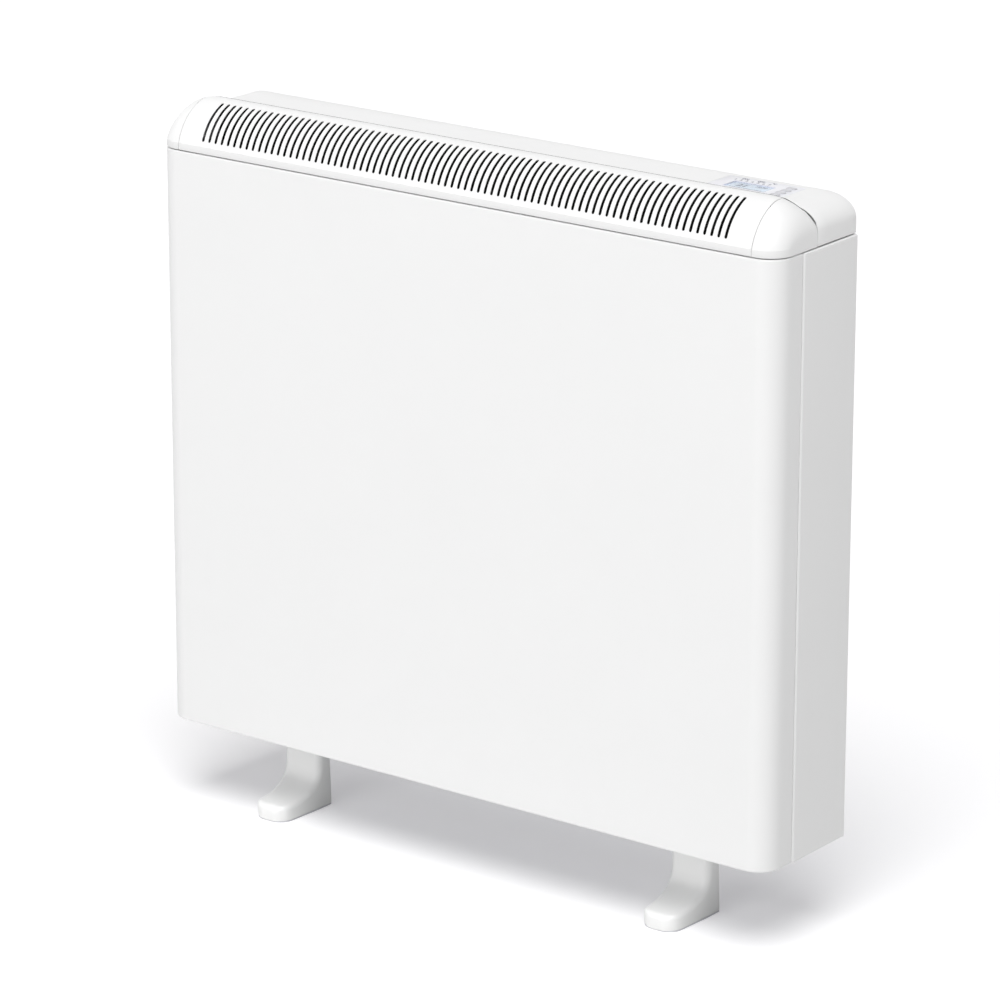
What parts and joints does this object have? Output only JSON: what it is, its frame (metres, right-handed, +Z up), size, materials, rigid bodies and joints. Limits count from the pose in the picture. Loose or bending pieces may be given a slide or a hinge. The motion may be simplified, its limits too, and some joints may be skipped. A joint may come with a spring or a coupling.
{
  "type": "storage heater",
  "caption": "Slim white storage heater with a brick core, a curved slotted outlet along the top front edge, a control panel on the top deck and moulded feet.",
  "frame": {"origin": "on the floor, at the middle of the width and of the depth over the wall bracket", "axes": "+X to the right seen from the front, the front faces -Y, +Z up"},
  "size_m": [0.75, 0.147, 0.7449],
  "materials": {
    "painted_steel": "satin white powder coat",
    "white_moulding": "satin white moulding",
    "foot_moulding": "satin white moulding",
    "galvanised": "galvanised sheet",
    "black_sheet": "matt black",
    "overlay_film": "satin printed film",
    "window_clear": "clear",
    "display_glass": "lit liquid crystal display",
    "grey_key": "satin grey",
    "board_laminate": "green circuit board",
    "dark_plastic": "matt black",
    "pale_plastic": "matt cream",
    "core_brick": "rough fired brick",
    "board_fibre": "pressed fibre board",
    "element_sheath": "heat-stained steel sheath",
    "screw_steel": "zinc-plated"
  },
  "bodies": {
    "casing": {"front_panel": "painted_steel", "left_side_panel": "painted_steel", "right_side_panel": "painted_steel", "rear_panel": "galvanised", "base_tray": "galvanised", "rear_top_cover": "white_moulding", "vent_grille": "white_moulding", "left_end_cap": "white_moulding", "right_end_cap": "white_moulding", "control_overlay": "overlay_film", "display_window": "window_clear", "display_module": "display_glass", "control_board": "board_laminate", "control_carrier": "dark_plastic", "outlet_duct": "black_sheet", "damper_actuator": "dark_plastic", "storage_brick_row1_left": "core_brick", "storage_brick_row1_right": "core_brick", "storage_brick_row2_left": "core_brick", "storage_brick_row2_right": "core_brick", "storage_brick_row3_left": "core_brick", "storage_brick_row3_right": "core_brick", "storage_brick_row4_left": "core_brick", "storage_brick_row4_right": "core_brick", "heating_element_1": "element_sheath", "heating_element_2": "element_sheath", "heating_element_3": "element_sheath", "front_insulation": "board_fibre", "rear_insulation": "board_fibre", "left_insulation": "board_fibre", "right_insulation": "board_fibre", "base_insulation": "board_fibre", "top_insulation": "board_fibre", "left_core_support": "galvanised", "right_core_support": "galvanised", "terminal_block": "pale_plastic", "cable_gland": "dark_plastic", "power_board": "board_laminate", "thermal_cutout": "screw_steel", "charge_sensor": "screw_steel", "room_sensor": "pale_plastic", "left_foot": "foot_moulding", "right_foot": "foot_moulding", "foot_screw_1": "screw_steel", "foot_screw_2": "screw_steel", "foot_screw_3": "screw_steel", "foot_screw_4": "screw_steel", "wall_bracket": "galvanised", "left_wall_spacer": "dark_plastic", "right_wall_spacer": "dark_plastic"},
    "damper": {"damper_flap": "galvanised", "damper_shaft": "screw_steel"},
    "key_1": {"button_1": "grey_key"},
    "key_2": {"button_2": "grey_key"},
    "key_3": {"button_3": "grey_key"},
    "key_4": {"button_4": "grey_key"}
  },
  "joints": [
    {"name": "damper_hinge", "type": "hinge", "parent": "casing", "child": "damper", "pos_m": [0, -0.0205, 0.6585], "axis": [-1, 0, 0], "range_deg": [0, 75]},
    {"name": "key_1_travel", "type": "slide", "parent": "casing", "child": "key_1", "axis": [0, 0, -1], "range_m": [0, 0.0006], "stiffness_N_per_m": 400, "springref_m": -0.0003},
    {"name": "key_2_travel", "type": "slide", "parent": "casing", "child": "key_2", "axis": [0, 0, -1], "range_m": [0, 0.0006], "stiffness_N_per_m": 400, "springref_m": -0.0003},
    {"name": "key_3_travel", "type": "slide", "parent": "casing", "child": "key_3", "axis": [0, 0, -1], "range_m": [0, 0.0006], "stiffness_N_per_m": 400, "springref_m": -0.0003},
    {"name": "key_4_travel", "type": "slide", "parent": "casing", "child": "key_4", "axis": [0, 0, -1], "range_m": [0, 0.0006], "stiffness_N_per_m": 400, "springref_m": -0.0003}
  ]
}
